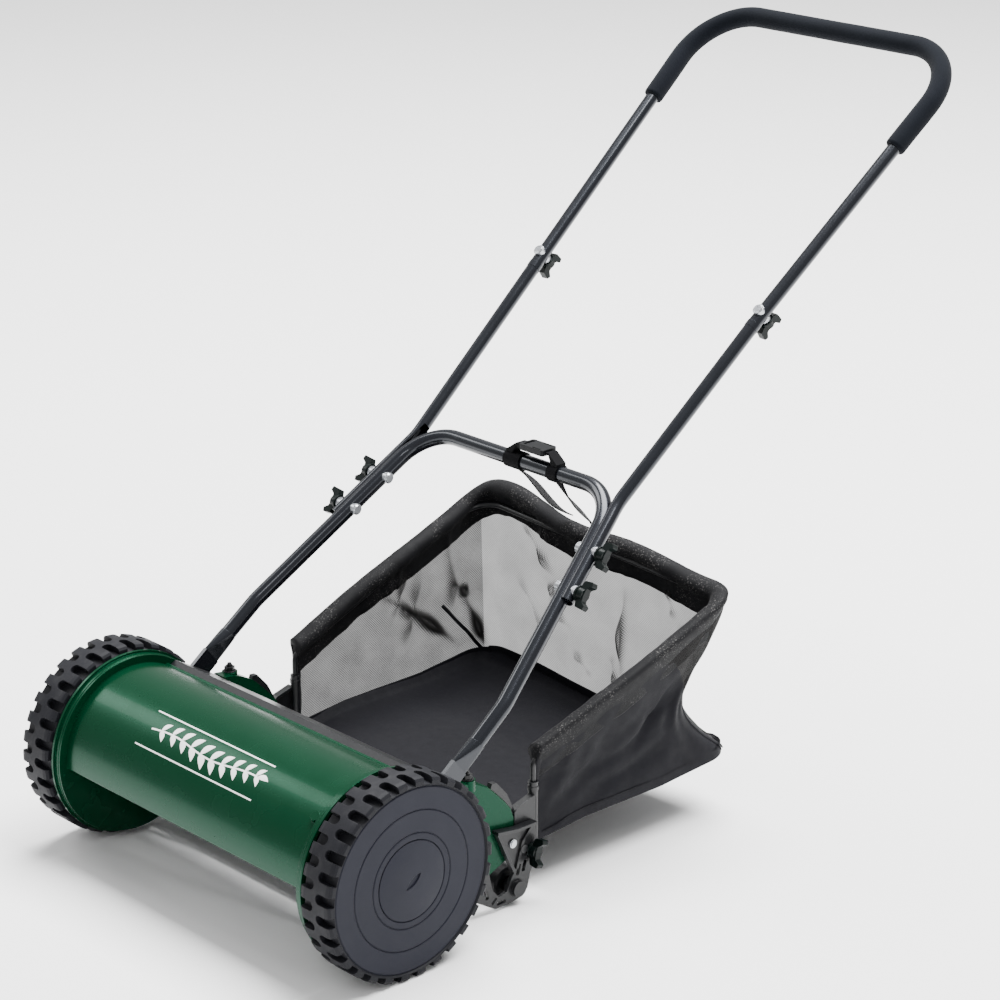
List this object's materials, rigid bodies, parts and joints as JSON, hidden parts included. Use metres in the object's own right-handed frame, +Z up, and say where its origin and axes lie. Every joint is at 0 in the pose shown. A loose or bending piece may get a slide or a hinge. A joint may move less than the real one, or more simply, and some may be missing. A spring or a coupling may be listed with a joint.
{
  "type": "reel mower",
  "caption": "Push reel mower with a drum-shaped front cover, side wheels geared to a helical cutting reel, rear roller, tubular handle and open grass bag.",
  "frame": {"origin": "on the ground, midway between the wheels, directly under the wheel axle", "axes": "+Z up, -Y is the way the mower is pushed, +Y towards the handle bar, +X along the wheel axle towards the wheel named right"},
  "size_m": [0.5034, 0.975, 0.7891],
  "materials": {
    "green_enamel": "gloss",
    "black_enamel": "gloss",
    "black_steel": "satin",
    "blade_steel": "ground",
    "zinc": "bright",
    "wheel_plastic": "satin moulded",
    "black_plastic": "satin moulded",
    "knob_plastic": "satin moulded",
    "gear_nylon": "natural",
    "bronze": "sintered",
    "foam": "closed-cell foam",
    "bag_cloth": "woven nylon and mesh",
    "webbing": "woven strap"
  },
  "bodies": {
    "chassis": {"front_cover": "green_enamel", "cover_bolts": "green_enamel", "side_plate_left": "green_enamel", "side_plate_right": "green_enamel", "axle_studs": "zinc", "axle_nuts": "zinc", "rear_guard": "black_steel", "bed_knife_bar": "black_steel", "bed_knife": "blade_steel", "bed_knife_screws": "zinc", "adjuster_screws": "black_steel", "reel_bearings": "bronze", "lower_handle": "black_enamel", "leg_bolts": "zinc", "handle_tube_left": "black_enamel", "handle_tube_right": "black_enamel", "upper_handle": "black_enamel", "foam_grip": "foam", "lower_clamp_bolts": "zinc", "upper_clamp_bolts": "zinc", "rear_bracket_left": "black_steel", "rear_bracket_right": "black_steel", "bracket_rivets": "black_steel", "strap_loops": "webbing", "strap_buckle": "black_plastic"},
    "wheel_left": {"wheel_left": "wheel_plastic", "hub_cap_left": "wheel_plastic", "wheel_bush_left": "bronze"},
    "wheel_right": {"wheel_right": "wheel_plastic", "hub_cap_right": "wheel_plastic", "wheel_bush_right": "bronze"},
    "pinion_left": {"pinion_left": "gear_nylon"},
    "pinion_right": {"pinion_right": "gear_nylon"},
    "reel": {"reel_blades": "blade_steel", "reel_spiders": "black_steel", "reel_shaft": "black_steel", "pawl_keys": "zinc", "pinion_clips": "zinc"},
    "roller_carriage": {"roller_arm_left": "black_steel", "roller_arm_right": "black_steel", "roller_axle": "black_steel", "height_bolts": "black_steel", "stop_screws": "zinc"},
    "roller": {"roller": "black_plastic"},
    "bag": {"bag_fabric": "bag_cloth", "bag_frame": "black_steel", "bag_stops": "black_steel", "strap_tails": "webbing"},
    "clamp_knob_1_right": {"clamp_knob_1_right": "knob_plastic"},
    "clamp_knob_1_left": {"clamp_knob_1_left": "knob_plastic"},
    "clamp_knob_2_right": {"clamp_knob_2_right": "knob_plastic"},
    "clamp_knob_2_left": {"clamp_knob_2_left": "knob_plastic"},
    "upper_knob_right": {"upper_knob_right": "knob_plastic"},
    "upper_knob_left": {"upper_knob_left": "knob_plastic"},
    "height_knob_right": {"height_knob_right": "knob_plastic"},
    "height_knob_left": {"height_knob_left": "knob_plastic"}
  },
  "joints": [
    {"name": "wheel_right_spin", "type": "hinge", "parent": "chassis", "child": "wheel_right", "pos_m": [0.229, 0, 0.105], "axis": [1, 0, 0], "continuous": true},
    {"name": "wheel_left_spin", "type": "hinge", "parent": "chassis", "child": "wheel_left", "pos_m": [-0.229, 0, 0.105], "axis": [1, 0, 0], "continuous": true},
    {"name": "pinion_right_spin", "type": "hinge", "parent": "chassis", "child": "pinion_right", "pos_m": [0.218, 0.044, 0.086], "axis": [1, 0, 0], "continuous": true},
    {"name": "pinion_left_spin", "type": "hinge", "parent": "chassis", "child": "pinion_left", "pos_m": [-0.218, 0.044, 0.086], "axis": [1, 0, 0], "continuous": true},
    {"name": "reel_spin", "type": "hinge", "parent": "chassis", "child": "reel", "pos_m": [0, 0.044, 0.086], "axis": [1, 0, 0], "continuous": true},
    {"name": "height_adjust", "type": "slide", "parent": "chassis", "child": "roller_carriage", "axis": [0, 0, 1], "range_m": [-0.012, 0.016]},
    {"name": "roller_spin", "type": "hinge", "parent": "roller_carriage", "child": "roller", "pos_m": [0, 0.183, 0.018], "axis": [1, 0, 0], "continuous": true},
    {"name": "bag_lift", "type": "slide", "parent": "chassis", "child": "bag", "axis": [0, 0, 1], "range_m": [0, 0.06], "deforming": ["strap_tails"]},
    {"name": "clamp_knob_1_right_turn", "type": "hinge", "parent": "chassis", "child": "clamp_knob_1_right", "pos_m": [0.18722, 0.2805, 0.30828], "axis": [1, 0, 0], "range_deg": [0, 450]},
    {"name": "clamp_knob_1_left_turn", "type": "hinge", "parent": "chassis", "child": "clamp_knob_1_left", "pos_m": [-0.18722, 0.2805, 0.30828], "axis": [-1, 0, 0], "range_deg": [0, 450]},
    {"name": "clamp_knob_2_right_turn", "type": "hinge", "parent": "chassis", "child": "clamp_knob_2_right", "pos_m": [0.17767, 0.3184, 0.33777], "axis": [1, 0, 0], "range_deg": [0, 450]},
    {"name": "clamp_knob_2_left_turn", "type": "hinge", "parent": "chassis", "child": "clamp_knob_2_left", "pos_m": [-0.17767, 0.3184, 0.33777], "axis": [-1, 0, 0], "range_deg": [0, 450]},
    {"name": "upper_knob_right_turn", "type": "hinge", "parent": "chassis", "child": "upper_knob_right", "pos_m": [0.16624, 0.57015, 0.53347], "axis": [0, 0.6275, -0.7786], "range_deg": [0, 450]},
    {"name": "upper_knob_left_turn", "type": "hinge", "parent": "chassis", "child": "upper_knob_left", "pos_m": [-0.16624, 0.57015, 0.53347], "axis": [0, 0.6275, -0.7786], "range_deg": [0, 450]},
    {"name": "height_knob_right_turn", "type": "hinge", "parent": "roller_carriage", "child": "height_knob_right", "pos_m": [0.2017, 0.203, 0.054], "axis": [1, 0, 0], "range_deg": [0, 450]},
    {"name": "height_knob_left_turn", "type": "hinge", "parent": "roller_carriage", "child": "height_knob_left", "pos_m": [-0.2017, 0.203, 0.054], "axis": [-1, 0, 0], "range_deg": [0, 450]}
  ],
  "couplings": [
    {"joint": "pinion_right_spin", "follows": "wheel_right_spin", "ratio": 5},
    {"joint": "reel_spin", "follows": "wheel_right_spin", "ratio": 5},
    {"joint": "pinion_left_spin", "follows": "wheel_left_spin", "ratio": 5}
  ]
}
